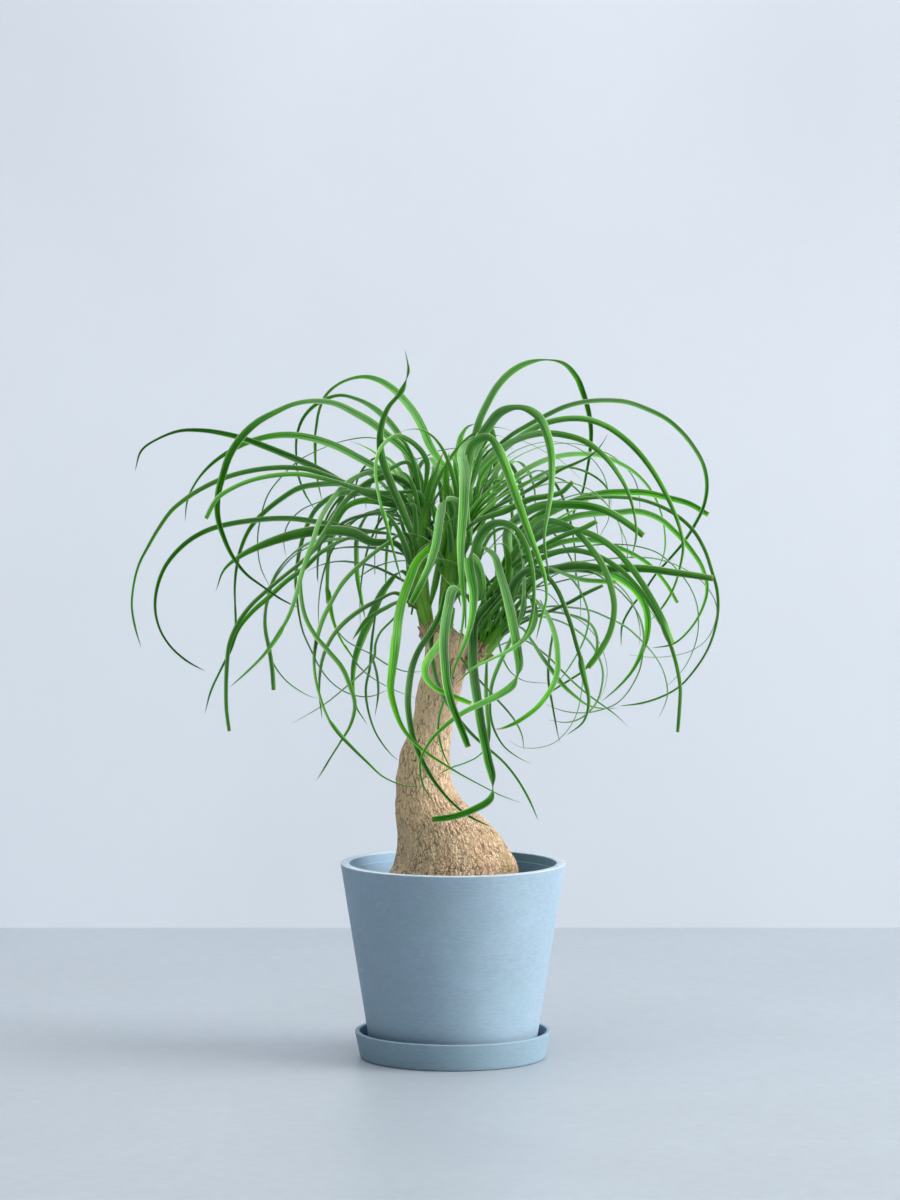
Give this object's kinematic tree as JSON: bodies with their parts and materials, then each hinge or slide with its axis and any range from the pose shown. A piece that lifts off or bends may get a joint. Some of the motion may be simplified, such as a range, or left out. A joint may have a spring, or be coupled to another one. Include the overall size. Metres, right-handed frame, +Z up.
{
  "type": "potted ponytail palm",
  "caption": "Ponytail palm with a swollen, cracked trunk and an arching crown of strap leaves, in a round tapered pot that stands on its saucer.",
  "frame": {"origin": "centre of the saucer's underside, on the pot's axis, at the ground", "axes": "+Z up along the pot's axis, the front looks along -Y and +X is to the right of someone who looks at the front"},
  "size_m": [0.5199, 0.3441, 0.635],
  "materials": {
    "saucer_glaze": "matte",
    "pot_glaze": "matte",
    "soil": "matte",
    "bark": "matte",
    "shoot_green": "satin",
    "leaf_green": "satin"
  },
  "bodies": {
    "root": {"saucer": "saucer_glaze", "pot": "pot_glaze", "soil": "soil", "trunk": "bark", "shoot_left": "shoot_green", "shoot_middle": "shoot_green", "shoot_right_upper": "shoot_green", "shoot_right_lower": "shoot_green", "leaf_left_01": "leaf_green", "leaf_left_02": "leaf_green", "leaf_left_03": "leaf_green", "leaf_left_04": "leaf_green", "leaf_left_05": "leaf_green", "leaf_left_06": "leaf_green", "leaf_left_07": "leaf_green", "leaf_left_08": "leaf_green", "leaf_left_09": "leaf_green", "leaf_left_10": "leaf_green", "leaf_left_11": "leaf_green", "leaf_left_12": "leaf_green", "leaf_left_13": "leaf_green", "leaf_left_14": "leaf_green", "leaf_left_15": "leaf_green", "leaf_left_16": "leaf_green", "leaf_left_17": "leaf_green", "leaf_left_18": "leaf_green", "leaf_left_19": "leaf_green", "leaf_left_20": "leaf_green", "leaf_left_21": "leaf_green", "leaf_front_01": "leaf_green", "leaf_front_02": "leaf_green", "leaf_front_03": "leaf_green", "leaf_front_04": "leaf_green", "leaf_front_05": "leaf_green", "leaf_front_06": "leaf_green", "leaf_front_07": "leaf_green", "leaf_front_08": "leaf_green", "leaf_front_09": "leaf_green", "leaf_front_10": "leaf_green", "leaf_front_11": "leaf_green", "leaf_front_12": "leaf_green", "leaf_front_13": "leaf_green", "leaf_right_01": "leaf_green", "leaf_right_02": "leaf_green", "leaf_right_03": "leaf_green", "leaf_right_04": "leaf_green", "leaf_right_05": "leaf_green", "leaf_right_06": "leaf_green", "leaf_right_07": "leaf_green", "leaf_right_08": "leaf_green", "leaf_right_09": "leaf_green", "leaf_right_10": "leaf_green", "leaf_right_11": "leaf_green", "leaf_right_12": "leaf_green", "leaf_right_13": "leaf_green", "leaf_right_14": "leaf_green", "leaf_right_15": "leaf_green", "leaf_right_16": "leaf_green", "leaf_right_17": "leaf_green", "leaf_right_18": "leaf_green"}
  },
  "joints": []
}
